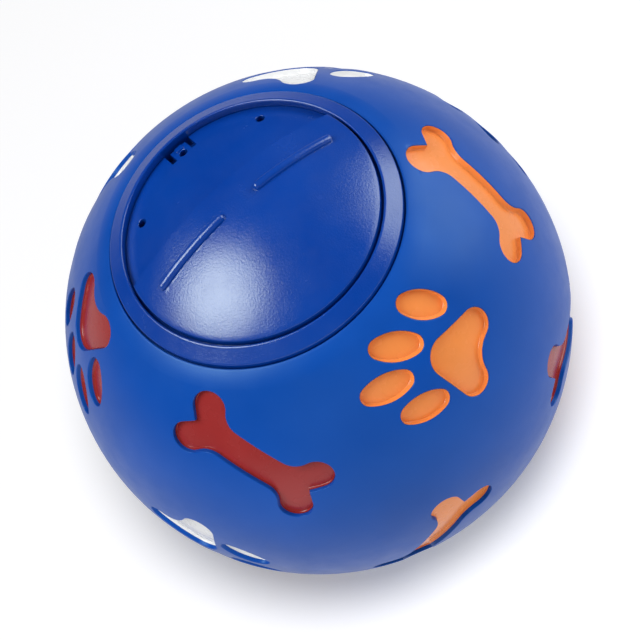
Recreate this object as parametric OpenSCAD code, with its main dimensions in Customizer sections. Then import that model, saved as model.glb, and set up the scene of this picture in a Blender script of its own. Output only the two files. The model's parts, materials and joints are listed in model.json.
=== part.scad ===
// Treat ball: a hollow vinyl ball with moulded, painted bones and paw prints.
// A rigid dispenser plugs its mouth, and a half-dome shutter on a pivot opens the port.
// The origin is the centre of the ball, and +Z points out of the mouth along the pivot.

/* [Ball] */
// Outside diameter of the ball
ball_d = 110; // [100:1:125]
// Thickness of the vinyl wall
wall_t = 4.5; // [3.8:0.1:6]
// Radius rolled over the edge of the mouth
mouth_round = 0.7; // [0.4:0.1:1.4]
// Depth of the step in the mouth that the collar's flange lies in
rebate_depth = 2.1; // [1.6:0.1:2.6]
// Thickness of the lip of vinyl that the collar grips
lip_t = 2.3; // [1.8:0.1:3]

/* [Motifs] */
// Depth of the moulded recesses
recess_depth = 1.5; // [1:0.1:2.4]
// Thickness of the coat of paint on the floor of a recess
paint_t = 0.3; // [0.1:0.05:0.6]
// Bare margin between the paint and the wall of its recess
paint_margin = 0.15; // [0.05:0.05:0.4]
// Distance between the two ends of a bone, from knuckle to knuckle
bone_len = 25.5; // [20:0.5:28]
// Diameter of a bone's knuckles
knuckle_d = 7; // [6:0.1:7.6]
// Distance between the two knuckles at one end
knuckle_spacing = 9; // [8.6:0.1:9.6]
// Width of a bone's shaft
shaft_w = 7.2; // [5:0.1:8]
// Radius between a bone's shaft and its knuckles
shaft_fillet = 4.5; // [3.5:0.1:5]
// Diameter of the round front of a paw's pad
pad_front_d = 9.2; // [8:0.1:10.6]
// Diameter of the two heels of a pad
heel_d = 7; // [5.8:0.1:7.6]
// Distance between the two heels of a pad
heel_spacing = 11.2; // [9:0.1:11.6]
// Distance from a pad's front to the line of its heels
pad_len = 6; // [5:0.1:6.6]
// Depth of the hollow between the heels
heel_hollow = 1.8; // [1.2:0.1:2.2]
// Length of the inner toes
inner_toe_len = 11.6; // [9:0.1:12]
// Width of the inner toes
inner_toe_w = 6.2; // [5:0.1:6.6]
// Length of the outer toes
outer_toe_len = 11.2; // [8:0.1:11.6]
// Width of the outer toes
outer_toe_w = 6.1; // [5:0.1:6.5]
// Radius at the two ends of a toe
toe_end_r = 2.2; // [1.8:0.1:2.3]

/* [Collar] */
// Bore of the collar
collar_bore = 55.6; // [50:0.2:59]
// Thickness of the collar's neck
neck_t = 1.6; // [1.2:0.1:2.2]
// How far the flange overhangs the neck
flange_over = 1.8; // [1.4:0.1:2.4]
// Open groove between the flange and the mouth of the ball
mouth_gap = 0.5; // [0.3:0.1:1]
// How far the snap barb stands out from the neck
barb_over = 1.3; // [0.8:0.1:1.8]
// Height of the snap barb
barb_h = 2.2; // [1.6:0.1:3]
// Height of the upright face of the barb
barb_land = 0.7; // [0.3:0.1:1.2]
// Thickness of the neck at its tapered end
neck_end_t = 1; // [0.6:0.1:1.4]
// Width of the inner ledge that the port plate sits on
seat_w = 1.6; // [1:0.1:2]
// Thickness of that ledge
seat_t = 1.2; // [0.8:0.1:2]
// Radius on the outer edge of the flange
flange_round = 0.5; // [0.2:0.1:0.8]
// Radius on the inner edge of the flange
bore_round = 0.6; // [0.3:0.1:1.4]

/* [Port plate] */
// Depth of the plate's dome below the skin of the ball
plate_depth = 2.8; // [2.5:0.1:3.4]
// Thickness of the plate's dome
plate_t = 2; // [1.4:0.1:2.6]
// Thickness of the plate's flat-bottomed rim
rim_t = 2.4; // [1.8:0.1:3]
// Width of that rim
rim_w = 2.6; // [2:0.1:3.4]
// How far the plate reaches past the pivot before the port begins
plate_lap = 7; // [6.2:0.1:9]
// Radius in the corners of the port
port_round = 2.5; // [1:0.1:4]
// Diameter of the index holes
index_d = 1.7; // [1.2:0.1:2.2]
// Distance from the collar's bore to the centre of an index hole
index_inset = 4; // [3.4:0.1:4.6]
// Angle between two index holes
index_angle = 43; // [32:0.5:50]
// Width of the spring tongue that carries the middle index hole
tongue_w = 4.1; // [3.4:0.1:5]
// Length of the slits beside the tongue
slit_len = 4.5; // [4:0.1:6]
// Width of those slits
slit_w = 1.2; // [0.8:0.1:1.5]
// Open gap between the tip of the tongue and the collar
tongue_gap = 0.9; // [0.6:0.1:1.2]
// Height of the bump on the tongue
bump_h = 0.75; // [0.4:0.05:0.8]
// Width of that bump
bump_w = 2; // [1:0.1:2.4]

/* [Shutter] */
// Thickness of the shutter's half-dome
shutter_t = 1.7; // [1.3:0.05:1.75]
// Open gap between the rim of the shutter and the collar
shutter_gap = 0.6; // [0.4:0.05:1]
// Radius on the rim of the shutter
shutter_round = 0.4; // [0.2:0.1:0.6]
// How far the straight edge of the shutter lies past the pivot
shutter_lap = 6.5; // [6:0.1:9]
// Width of the finger ridges
ridge_w = 1.5; // [1.2:0.1:2.4]
// Height of the finger ridges above the dome
ridge_h = 1.3; // [0.8:0.1:1.6]
// Distance from the pivot to the inner end of a ridge
ridge_start = 4; // [2.5:0.1:7]
// Distance from the outer end of a ridge to the rim of the shutter
ridge_inset = 4; // [2:0.1:6]
// Height of the detent pip under the shutter
pip_h = 0.7; // [0.4:0.05:0.75]

/* [Pivot] */
// Diameter of the pivot post
post_d = 5.8; // [5:0.1:7]
// Diameter of the thrust faces round the post
thrust_d = 10; // [9:0.1:12]
// Diameter of the screw's shank
screw_d = 2.5; // [2:0.1:3]
// Diameter of the screw's head
head_d = 5.6; // [4.6:0.1:6.4]
// Height of the screw's head
head_h = 1.8; // [1.4:0.1:2.4]
// Outside diameter of the washer
washer_d = 11; // [10:0.1:14]
// Thickness of the washer
washer_t = 1; // [0.6:0.1:1.6]
// Length of the bearing that the post turns in
bearing_len = 2.8; // [2.4:0.1:4]
// Skin of plastic left above the screw hole
post_cap = 1.8; // [1.2:0.1:2.4]

/* [Fits] */
// Side play of the neck in the mouth and of the barb under the lip
play = 0.2; // [0.1:0.05:0.3]
// Side play of the post in its bearing and of the pip in the index holes
post_play = 0.1; // [0.05:0.05:0.2]
// Running gap between the thrust faces at the pivot
thrust_gap = 0.2; // [0.1:0.05:0.3]
// Gap left where two fixed pieces lie face to face
fit = 0.05; // [0.02:0.01:0.1]

/* [Hidden] */
$fn = 128;

vinyl_blue = [0.10, 0.33, 0.68];
plastic_blue = [0.02, 0.20, 0.60];
coat_orange = [0.94, 0.55, 0.28];
coat_red = [0.64, 0.17, 0.17];
coat_white = [0.92, 0.92, 0.93];
steel_grey = [0.75, 0.76, 0.78];

// Height above the ball's centre of a sphere of radius r, at a distance rho from the axis
function dome_z(r, rho) = sqrt(r * r - rho * rho);

// Radii of the dispenser, worked out from the bore outwards
ball_r = ball_d / 2;
cavity_r = ball_r - wall_t;
floor_r = ball_r - recess_depth;
bore_r = collar_bore / 2;
neck_r = bore_r + neck_t;
flange_r = neck_r + flange_over;
mouth_r = flange_r + mouth_gap;
hole_r = neck_r + play;
barb_r = neck_r + barb_over;
seat_r = bore_r - seat_w;
plate_r = bore_r - 2 * fit;
port_r = plate_r - rim_w;
shutter_r = bore_r - shutter_gap;
index_r = bore_r - index_inset;

// Heights of the mouth, the collar and the port plate
ledge_z = dome_z(ball_r, mouth_r) - rebate_depth;
lip_z = ledge_z - lip_t;
barb_z = lip_z - play;
neck_z = barb_z - barb_h;
relief_r = barb_r + play;
plate_top_r = ball_r - plate_depth;
plate_under_r = plate_top_r - plate_t;
rim_z = dome_z(plate_top_r, plate_r) - rim_t;
seat_z = rim_z - fit;

// Heights at the pivot
shutter_under_r = ball_r - shutter_t;
thrust_rise = 0.15;
bearing_top = plate_top_r + thrust_rise;
bearing_z = bearing_top - bearing_len;
shoulder_z = bearing_top + thrust_gap;
post_z = bearing_z - thrust_gap;
washer_z = post_z - washer_t;
screw_tip_z = ball_r - post_cap;
washer_play = 0.2;
drive_w = 0.8;
drive_depth = 0.9;
// How far the bump on the tongue stays clear of its index hole
bump_clear = 0.25;

// Overlap that carries a cut or a join clear through a face
over = 1;
// How far the ball's skin runs into the layer under the recesses
skin_lap = 0.4;

// Layout of the motifs: shape, coat, azimuth, angle from the mouth's axis, turn.
// A turn of 0 points at the mouth, and a positive turn is anticlockwise from outside.
MOTIFS = [
    ["bone", "orange", -27.7, 54.7, -41],
    ["paw", "orange", -80.5, 53.5, 48],
    ["bone", "red", -135.6, 56.3, 49.5],
    ["paw", "red", 159, 55.5, -173],
    ["bone", "white", 114.2, 57.2, 49],
    ["paw", "white", 41.5, 55, 162],
    ["paw", "red", 3.5, 82, 59],
    ["bone", "red", -46.9, 96.9, 72],
    ["bone", "orange", -104.6, 103.2, -42],
    ["paw", "white", -156.5, 94.5, -154],
    ["bone", "white", 131, 99, 40],
    ["paw", "orange", 72, 99, 25],
    ["paw", "orange", -24, 143, 150],
    ["bone", "white", -96, 144, 35],
    ["paw", "red", -168, 143, 20],
    ["bone", "orange", 120, 143, -50],
    ["paw", "white", 48, 143, -70]
];

// Places of the parts of a paw, from its middle.
// A toe's row gives whether it is an inner one, its middle and its lean, anticlockwise.
TOES = [
    [false, [11, 0.6], -9.5],
    [true, [3.5, 7], 0.7],
    [true, [-4.6, 9.3], 19.7],
    [false, [-9.6, 1.3], 18.8]
];
pad_front_y = -4.5;
heel_y = pad_front_y - pad_len;
pad_lean = -4;
pad_shift = 0.5;
// How far the notch between two knuckles lies past the line through their middles
notch_rise = 0.8;
// Farthest reach of a motif from its middle
motif_reach = max(norm([knuckle_spacing, bone_len]) + knuckle_d, norm([heel_spacing, 2 * heel_y]) + heel_d) / 2;
// How far the sides of a motif run inside its round corners
tuck = 0.1;

// Outline of a bone along Y, drawn in by inset
module bone_outline(inset = 0) {
    kx = knuckle_spacing / 2;
    ky = bone_len / 2;
    fillet_x = shaft_w / 2 + shaft_fillet;
    reach = knuckle_d / 2 + shaft_fillet;
    fillet_y = ky - sqrt(reach * reach - (fillet_x - kx) * (fillet_x - kx));
    // Side of the notch: the line from its bottom that touches a knuckle
    side = atan2(-notch_rise, kx) + asin(knuckle_d / 2 / norm([kx, notch_rise]));
    notch_touch = [kx, ky] + (knuckle_d / 2 - inset - tuck) * [-sin(side), cos(side)];
    notch = [0, ky + notch_rise - (inset + tuck) / cos(side)];
    // Corners of one end, from the shaft's right side round to its left side
    right = [[shaft_w / 2 - inset, fillet_y], [fillet_x, fillet_y], [kx, ky], notch_touch];
    last = len(right) - 1;
    left = [for (i = [0:last]) [-right[last - i][0], right[last - i][1]]];
    end = concat(right, [notch], left);
    difference() {
        polygon(concat(end, [for (p = end) -p]));
        for (sx = [-1, 1], sy = [-1, 1]) translate([sx * fillet_x, sy * fillet_y])
            circle(shaft_fillet + inset - tuck);
    }
    for (sx = [-1, 1], sy = [-1, 1]) translate([sx * kx, sy * ky]) circle(knuckle_d / 2 - inset);
}

// Outline of one toe along Y, an oval of four arcs, drawn in by inset
module toe_outline(len, w, inset) {
    end_y = len / 2 - toe_end_r;
    side_r = (end_y ^ 2 + w ^ 2 / 4 - toe_end_r ^ 2) / (w - 2 * toe_end_r);
    touch_y = side_r * end_y / (side_r - toe_end_r);
    intersection() {
        translate([w / 2 - side_r, 0]) circle(side_r - inset - tuck);
        translate([side_r - w / 2, 0]) circle(side_r - inset - tuck);
        square([w, 2 * touch_y], center = true);
    }
    for (s = [-1, 1]) translate([0, s * end_y]) circle(toe_end_r - inset);
}

// Outline of a paw's pad with its front towards +Y, drawn in by inset
module pad_outline(inset) {
    front = pad_front_d / 2;
    heel = heel_d / 2;
    hx = heel_spacing / 2;
    // Side of the pad: the common tangent of its front and a heel
    lean = atan2(-pad_len, hx) + acos((front - heel) / norm([hx, pad_len]));
    side = [cos(lean), sin(lean)];
    front_edge = [0, pad_front_y] + (front - inset - tuck) * side;
    heel_edge = [hx, heel_y] + (heel - inset - tuck) * side;
    // Hollow behind the pad: a circle that touches both heels
    hollow_drop = heel - heel_hollow;
    hollow_r = (hx * hx + hollow_drop * hollow_drop - heel * heel) / (2 * heel_hollow);
    hollow_at = [0, heel_y - hollow_drop - hollow_r];
    touch = [hx, heel_y] + heel / (heel + hollow_r) * (hollow_at - [hx, heel_y]);
    difference() {
        polygon([
            [-front_edge[0], front_edge[1]], [-heel_edge[0], heel_edge[1]],
            [-hx, heel_y], [-touch[0], touch[1]],
            touch, [hx, heel_y], heel_edge, front_edge
        ]);
        translate(hollow_at) circle(hollow_r + inset + tuck);
    }
    translate([0, pad_front_y]) circle(front - inset);
    for (s = [-1, 1]) translate([s * hx, heel_y]) circle(heel - inset);
}

// Outline of a paw print with its toes towards +Y, drawn in by inset
module paw_outline(inset = 0) {
    translate([pad_shift, 0]) rotate(pad_lean) pad_outline(inset);
    for (toe = TOES) translate(toe[1]) rotate(toe[2]) {
        if (toe[0]) toe_outline(inner_toe_len, inner_toe_w, inset);
        else toe_outline(outer_toe_len, outer_toe_w, inset);
    }
}

// Straight-sided blocks through the skin under the motifs of one coat, or of all
module motif_blocks(coat = "all", inset = 0) {
    low = dome_z(floor_r - skin_lap, motif_reach) - over;
    for (m = MOTIFS) if (coat == "all" || coat == m[1])
        rotate([0, 0, m[2]]) rotate([0, m[3], 0]) rotate([0, 0, m[4] + 90])
            translate([0, 0, low]) linear_extrude(ball_r + over - low) {
                if (m[0] == "bone") bone_outline(inset);
                if (m[0] == "paw") paw_outline(inset);
            }
}

// Half-plane of a revolved profile, right of a distance from the axis
module right_of(rho, z0 = -ball_d, z1 = ball_d) {
    translate([rho, z0]) square([ball_d, z1 - z0]);
}

// What a rounded edge takes off the corner of a dome and an upright wall.
// side is 1 where the wall faces the axis and -1 where it faces outwards.
module edge_round(dome, wall, r, side) {
    cx = wall + side * r;
    cz = dome_z(dome - r, cx);
    rim = (dome + over) / (dome - r) * [cx, cz];
    difference() {
        polygon([[cx, cz], rim, [wall - side * over, rim[1] + over], [wall - side * over, cz]]);
        translate([cx, cz]) circle(r);
    }
}

module ball_profile() {
    difference() {
        intersection() {
            difference() {
                circle(ball_r);
                difference() {
                    circle(cavity_r);
                    translate([0, lip_z]) square([relief_r + wall_t, lip_t + over]);
                }
            }
            right_of(0);
        }
        translate([-over, 0]) square([hole_r + over, ball_d]);
        translate([-over, ledge_z]) square([mouth_r + over, ball_d]);
        translate([-over, neck_z - over]) square([relief_r + over, lip_z - neck_z + over]);
        edge_round(ball_r, mouth_r, mouth_round, 1);
    }
}

// The skin carries the recesses, and the layer under it closes their floors
module ball_shell() {
    color(vinyl_blue) union() {
        difference() {
            rotate_extrude() difference() {
                ball_profile();
                circle(floor_r - skin_lap);
            }
            motif_blocks();
        }
        rotate_extrude() intersection() {
            ball_profile();
            circle(floor_r);
        }
    }
}

// Coat of paint on the floors of the recesses of one colour
module paint(coat) {
    intersection() {
        motif_blocks(coat, paint_margin);
        difference() {
            sphere(floor_r + fit + paint_t);
            sphere(floor_r + fit);
        }
    }
}

module paint_orange() {
    color(coat_orange) paint("orange");
}

module paint_red() {
    color(coat_red) paint("red");
}

module paint_white() {
    color(coat_white) paint("white");
}

module collar_profile() {
    difference() {
        intersection() {
            circle(ball_r);
            translate([bore_r, ledge_z + fit]) square([flange_r - bore_r, ball_r]);
        }
        edge_round(ball_r, bore_r, bore_round, 1);
        edge_round(ball_r, flange_r, flange_round, -1);
    }
    polygon([
        [bore_r, ledge_z + over], [bore_r, seat_z], [seat_r, seat_z], [seat_r, seat_z - seat_t],
        [bore_r, seat_z - seat_t - seat_w], [bore_r, neck_z], [bore_r + neck_end_t, neck_z],
        [barb_r, barb_z - barb_land], [barb_r, barb_z], [neck_r, barb_z], [neck_r, ledge_z + over]
    ]);
}

module collar() {
    color(plastic_blue) rotate_extrude() collar_profile();
}

// Outline of the half-moon port, seen along the pivot
module port_outline() {
    corner_y = -plate_lap - port_round;
    corner_x = sqrt((port_r - port_round) ^ 2 - corner_y ^ 2);
    difference() {
        circle(port_r);
        translate([-port_r - over, corner_y]) square([2 * port_r + 2 * over, 2 * port_r]);
    }
    translate([-corner_x, corner_y - over]) square([2 * corner_x, port_round + over]);
    for (s = [-1, 1]) translate([s * corner_x, corner_y]) circle(port_round);
}

// Upright cut through the plate and the air above and below it
module plate_cut() {
    translate([0, 0, rim_z - over]) linear_extrude(ball_r - rim_z) children();
}

// Bump on the tongue, between its index hole and its tip
module tongue_bump() {
    tip = plate_r - tongue_gap;
    start = index_r + index_d / 2 + bump_clear;
    intersection() {
        difference() {
            sphere(plate_top_r + bump_h);
            sphere(plate_top_r - plate_t / 2);
        }
        translate([-bump_w / 2, start, rim_z]) cube([bump_w, tip - start, ball_r]);
    }
}

module port_plate() {
    color(plastic_blue) difference() {
        union() {
            rotate_extrude() difference() {
                intersection() {
                    circle(plate_top_r);
                    translate([0, rim_z]) square([plate_r, ball_r]);
                }
                difference() {
                    circle(plate_under_r);
                    translate([port_r, 0]) square([rim_w + over, ball_r]);
                }
            }
            translate([0, 0, bearing_z]) cylinder(d = thrust_d, h = bearing_len);
            tongue_bump();
        }
        plate_cut() port_outline();
        plate_cut() circle(d = post_d + 2 * post_play);
        for (turn = [-1, 0, 1]) rotate(turn * index_angle)
            translate([0, index_r, rim_z - over]) cylinder(d = index_d, h = ball_r);
        for (s = [-1, 1]) plate_cut()
            translate([s * (tongue_w + slit_w) / 2 - slit_w / 2, plate_r - slit_len])
                square([slit_w, slit_len + over]);
        plate_cut() intersection() {
            difference() {
                circle(plate_r + over);
                circle(plate_r - tongue_gap);
            }
            translate([-tongue_w / 2 - slit_w / 2, 0]) square([tongue_w + slit_w, plate_r + 2 * over]);
        }
    }
}

// Round-topped finger ridge, which follows the dome from the pivot outwards
module ridge() {
    far = shutter_r - ridge_inset;
    crown = ball_r + ridge_h - ridge_w / 2;
    run = far - ridge_start - ridge_w;
    intersection() {
        rotate([90, 0, 0]) rotate_extrude() {
            translate([ball_r - shutter_t / 2, -ridge_w / 2])
                square([crown - ball_r + shutter_t / 2, ridge_w]);
            translate([crown, 0]) circle(d = ridge_w);
        }
        linear_extrude(ball_d) {
            translate([ridge_start + ridge_w / 2, -ridge_w]) square([run, 2 * ridge_w]);
            for (x = [0, run]) translate([ridge_start + ridge_w / 2 + x, 0]) circle(d = ridge_w + fit);
        }
    }
}

module shutter() {
    color(plastic_blue) difference() {
        union() {
            intersection() {
                rotate_extrude() difference() {
                    intersection() {
                        circle(ball_r);
                        square([shutter_r, ball_d]);
                    }
                    circle(shutter_under_r);
                    edge_round(ball_r, shutter_r, shutter_round, -1);
                }
                translate([-ball_r, shutter_lap - ball_d, 0]) cube([ball_d, ball_d, ball_d]);
            }
            for (turn = [0, 180]) rotate(turn) ridge();
            translate([0, 0, shoulder_z])
                cylinder(d = thrust_d, h = shutter_under_r - shoulder_z + shutter_t / 4);
            translate([0, 0, post_z]) cylinder(d = post_d, h = shutter_under_r - post_z);
            intersection() {
                difference() {
                    sphere(ball_r - shutter_t / 2);
                    sphere(shutter_under_r - pip_h);
                }
                translate([0, -index_r, 0]) cylinder(d = index_d - 2 * post_play, h = ball_r);
            }
        }
        translate([0, 0, post_z - over])
            cylinder(d = screw_d + 2 * fit, h = screw_tip_z + fit - post_z + over);
    }
}

module pivot_washer() {
    color(steel_grey) translate([0, 0, washer_z]) difference() {
        cylinder(d = washer_d, h = washer_t - fit);
        translate([0, 0, -over]) cylinder(d = screw_d + 2 * washer_play, h = washer_t + 2 * over);
    }
}

module pivot_screw() {
    head_z = washer_z - fit - head_h;
    color(steel_grey) difference() {
        union() {
            translate([0, 0, head_z]) cylinder(d = head_d, h = head_h);
            translate([0, 0, head_z]) cylinder(d = screw_d, h = screw_tip_z - head_z);
        }
        for (turn = [0, 90]) rotate(turn)
            translate([-head_d / 3, -drive_w / 2, head_z - over])
                cube([head_d * 2 / 3, drive_w, drive_depth + over]);
    }
}

ball_shell();
paint_orange();
paint_red();
paint_white();
collar();
port_plate();
shutter();
pivot_washer();
pivot_screw();
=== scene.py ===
"""Treat ball: a hollow vinyl ball with recessed, painted bones and paw prints.

A rigid dispenser plugs its mouth. It has a collar, a port plate with an index tongue, and a
half-dome shutter that turns on a centre pivot. All sizes are in metres.
"""

import json
import math

import bmesh
import bpy
from bpy.props import FloatProperty, FloatVectorProperty, PointerProperty
from mathutils import Matrix, Vector

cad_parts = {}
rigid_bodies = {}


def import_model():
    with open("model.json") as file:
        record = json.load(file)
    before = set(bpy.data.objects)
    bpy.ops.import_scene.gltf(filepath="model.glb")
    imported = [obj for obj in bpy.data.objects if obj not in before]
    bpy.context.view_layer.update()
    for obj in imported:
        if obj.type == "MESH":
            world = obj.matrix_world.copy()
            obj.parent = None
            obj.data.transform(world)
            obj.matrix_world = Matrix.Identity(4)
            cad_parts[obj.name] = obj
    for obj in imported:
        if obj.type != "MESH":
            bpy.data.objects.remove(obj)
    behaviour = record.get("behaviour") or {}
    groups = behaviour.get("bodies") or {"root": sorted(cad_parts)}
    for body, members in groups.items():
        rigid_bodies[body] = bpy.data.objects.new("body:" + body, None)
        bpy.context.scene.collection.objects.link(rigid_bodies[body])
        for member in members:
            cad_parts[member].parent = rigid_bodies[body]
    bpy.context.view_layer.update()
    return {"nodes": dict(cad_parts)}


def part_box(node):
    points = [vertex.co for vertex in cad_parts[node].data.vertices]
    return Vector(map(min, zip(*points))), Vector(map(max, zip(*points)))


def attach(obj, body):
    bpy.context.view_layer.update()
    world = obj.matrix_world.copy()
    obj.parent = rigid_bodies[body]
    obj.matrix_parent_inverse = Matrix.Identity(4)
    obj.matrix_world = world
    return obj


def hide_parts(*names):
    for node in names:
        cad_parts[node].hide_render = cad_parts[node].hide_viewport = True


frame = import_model()

bl_info = {
    "name": "Treat Ball",
    "version": (1, 0, 0),
    "blender": (4, 5, 0),
    "location": "View3D > Sidebar > Treat Ball",
    "description": "Builds a treat ball with a turning shutter around its packed CAD frame",
    "category": "Object",
}

COLLAR_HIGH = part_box("collar")[1]
PLATE_LOW, PLATE_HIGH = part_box("port_plate")
SHUTTER_LOW, SHUTTER_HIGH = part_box("shutter")
BALL_R = -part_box("ball_shell")[0].z

# Steps of a full turn on the lathe
TURN_STEPS = 160
# Spacing of the points along the outlines of the motifs and along the dispenser's sections
FINE = 0.0005
# Spacing of the points along the skin and the cavity of the ball
SKIN_STEP = 0.0018
CAVITY_STEP = 0.0035
# Distance under which two points are one
MERGE = 1e-7
# How far a cut runs clear of the face that it opens
CLEAR = 0.001
# Angle above which an edge stays sharp
SHARP = math.radians(38)
# How far a point may lie under the ball's skin and still count as on it
SKIN_DEPTH = 2e-5
# A rolled rim starts outside and above the skin, by these shares of its radius, to cross it cleanly
RIM_FLARE = 0.4
RIM_LIFT = 0.2
# Turns, in degrees, of the points round a rolled rim and round the foot of a recess
RIM_TURNS = (20, 42, 66, 90)
FOOT_TURNS = (0, 30, 60, 90)
# Steps round an index hole or a ridge
ROUND_STEPS = 32
# How far a ridge's foot starts under the dome, as a share of the foot's radius
RIDGE_SINK = 0.15
# Share of the pip's radius that is left at its tip
PIP_TAPER = 0.8
# Range in which most of a noise lies
NOISE_LOW = 0.3
NOISE_HIGH = 0.7
# Width of the picture and shift of the view, in pixels
PICTURE = 640
VIEW_SHIFT = (1.0, 0.5)
# Half width of the floor
FLOOR_HALF = 3.0

# Layout of the motifs: shape, colour, azimuth, angle from the mouth's axis, turn, in degrees, and
# whether the paint covers the whole wall or only its foot.
# A turn of 0 points at the mouth, and a positive turn is anticlockwise from outside.
MOTIFS = (
    ("bone", "orange", -27.7, 54.7, -41, "full"),
    ("paw", "orange", -80.5, 53.5, 48, "full"),
    ("bone", "red", -135.6, 56.3, 49.5, "foot"),
    ("paw", "red", 159, 55.5, -173, "foot"),
    ("bone", "white", 114.2, 57.2, 49, "foot"),
    ("paw", "white", 41.5, 55, 162, "full"),
    ("paw", "red", 3.5, 82, 59, "foot"),
    ("bone", "red", -46.9, 96.9, 72, "foot"),
    ("bone", "orange", -104.6, 103.2, -42, "foot"),
    ("paw", "white", -156.5, 94.5, -154, "foot"),
    ("bone", "white", 131, 99, 40, "foot"),
    ("paw", "orange", 72, 99, 25, "full"),
    ("paw", "orange", -24, 143, 150, "full"),
    ("bone", "white", -96, 144, 35, "foot"),
    ("paw", "red", -168, 143, 20, "foot"),
    ("bone", "orange", 120, 143, -50, "full"),
    ("paw", "white", 48, 143, -70, "foot"),
)

# Toes of a paw: inner or outer, place across and along the paw, and lean in degrees, anticlockwise
TOES = (
    ("outer", 0.011, 0.0006, -9.5),
    ("inner", 0.0035, 0.007, 0.7),
    ("inner", -0.0046, 0.0093, 19.7),
    ("outer", -0.0096, 0.0013, 18.8),
)

# Softboxes on the ball: name, way to it along the picture's right, up and towards the camera,
# diameter, and whether reflections show it
SOFTBOXES = (
    ("key", (-0.685, 0.17, 0.71), 0.58, True),
    ("side", (0.66, 0.68, 0.31), 0.8, True),
    ("fill", (0.2, -0.72, 0.66), 0.9, False),
    ("top", (0.05, 0.97, 0.22), 0.9, False),
)
# The lamp that lights the floor alone, in the same terms
FLOOR_LAMP = ("floor", (-0.07, 0.2, 0.97), 0.26, True)


def length(name, description, default):
    """A size in metres that a user can change."""
    return FloatProperty(name=name, description=description, default=default, unit="LENGTH", precision=5)


def angle(name, description, degrees):
    """An angle that a user can change."""
    return FloatProperty(name=name, description=description, default=math.radians(degrees), subtype="ANGLE")


def share(name, description, default):
    """A number from 0 to 1 that a user can change."""
    return FloatProperty(name=name, description=description, default=default, min=0, max=1, subtype="FACTOR")


def colour(name, description, default):
    """A linear colour that a user can change."""
    return FloatVectorProperty(name=name, description=description, default=default, size=3,
                               min=0, max=1, subtype="COLOR")


def power(name, description, default):
    """A lamp's power in watts that a user can change."""
    return FloatProperty(name=name, description=description, default=default, min=0, unit="POWER")


class BallSizes(bpy.types.PropertyGroup):
    """Sizes of the vinyl ball and its mouth."""
    radius: length("Radius", "Outside radius of the ball", BALL_R)
    wall: length("Wall", "Thickness of the vinyl", 0.0045)
    mouth_gap: length("Mouth gap", "Open groove between the collar's flange and the mouth", 0.0003)
    mouth_roll: length("Mouth roll", "Radius of the soft roll down to the mouth", 0.018)
    roll_turn: angle("Roll turn", "How far the soft roll turns", 16)
    mouth_round: length("Mouth round", "Radius on the edge of the mouth", 0.0003)
    rebate: length("Rebate", "Depth of the step that the flange lies in", 0.0021)
    lip: length("Lip", "Thickness of the lip that the collar grips", 0.0023)
    play: length("Play", "Side play of the collar in the mouth", 0.0002)


class MotifSizes(bpy.types.PropertyGroup):
    """Sizes of the recessed bones and paw prints."""
    depth: length("Depth", "Depth of the recesses", 0.0015)
    rim_round: length("Rim round", "Radius on the rim of a recess", 0.0003)
    floor_round: length("Floor round", "Radius between the wall and the floor of a recess", 0.0004)
    draft: length("Draft", "How far the wall of a recess leans in", 0.00015)
    coat: length("Coat", "Thickness of the paint", 0.00006)
    full_edge: length("Full edge", "Depth at which paint on the whole wall ends", 0.0002)
    foot_edge: length("Foot edge", "Depth at which paint on the foot of the wall ends", 0.0009)
    bone_len: length("Bone length", "Distance between the knuckles at the ends of a bone", 0.0255)
    knuckle_r: length("Knuckle radius", "Radius of a bone's knuckles", 0.0035)
    knuckle_spacing: length("Knuckle spacing", "Distance between two knuckles at one end", 0.009)
    notch_rise: length("Notch rise", "How far the notch lies past the line through two knuckles", 0.0008)
    shaft_w: length("Shaft width", "Width of a bone's shaft", 0.0072)
    shaft_fillet: length("Shaft fillet", "Radius between the shaft and a knuckle", 0.0045)
    pad_y: length("Pad place", "Place of the pad's round front along the paw", -0.0045)
    pad_shift: length("Pad shift", "Place of the pad across the paw", 0.0005)
    pad_lean: angle("Pad lean", "Lean of the pad, anticlockwise", -4)
    pad_front_r: length("Pad front", "Radius of the round front of a pad", 0.0046)
    pad_len: length("Pad length", "Distance from a pad's front to the line of its heels", 0.006)
    heel_r: length("Heel radius", "Radius of the heels of a pad", 0.0035)
    heel_spacing: length("Heel spacing", "Distance between the heels of a pad", 0.0112)
    heel_hollow: length("Heel hollow", "Depth of the hollow between the heels", 0.0018)
    toe_end_r: length("Toe end", "Radius at the ends of a toe", 0.0022)
    inner_toe_len: length("Inner toe length", "Length of the inner toes", 0.0116)
    inner_toe_w: length("Inner toe width", "Width of the inner toes", 0.0062)
    outer_toe_len: length("Outer toe length", "Length of the outer toes", 0.0112)
    outer_toe_w: length("Outer toe width", "Width of the outer toes", 0.0061)


class CollarSizes(bpy.types.PropertyGroup):
    """Sizes of the dispenser's collar."""
    flange_r: length("Flange radius", "Outside radius of the flange", COLLAR_HIGH.x)
    flange_over: length("Flange overhang", "How far the flange overhangs the neck", 0.0018)
    neck_t: length("Neck", "Thickness of the neck", 0.0016)
    neck_end_t: length("Neck end", "Thickness of the neck at its tapered end", 0.001)
    barb_over: length("Barb overhang", "How far the barb stands out from the neck", 0.0013)
    barb_h: length("Barb height", "Height of the snap barb", 0.0022)
    barb_land: length("Barb land", "Height of the upright face of the barb", 0.0007)
    seat_w: length("Ledge width", "Width of the ledge that the port plate sits on", 0.0016)
    seat_t: length("Ledge thickness", "Thickness of that ledge", 0.0012)
    flange_drop: length("Flange drop", "How far the flange's outer edge lies below the skin", 0.00015)
    flange_round: length("Flange round", "Radius on the outer edge of the flange", 0.0003)
    bore_round: length("Bore round", "Radius on the inner edge of the flange", 0.00035)
    fit: length("Fit", "Gap where two fixed pieces lie face to face", 0.00005)


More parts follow.
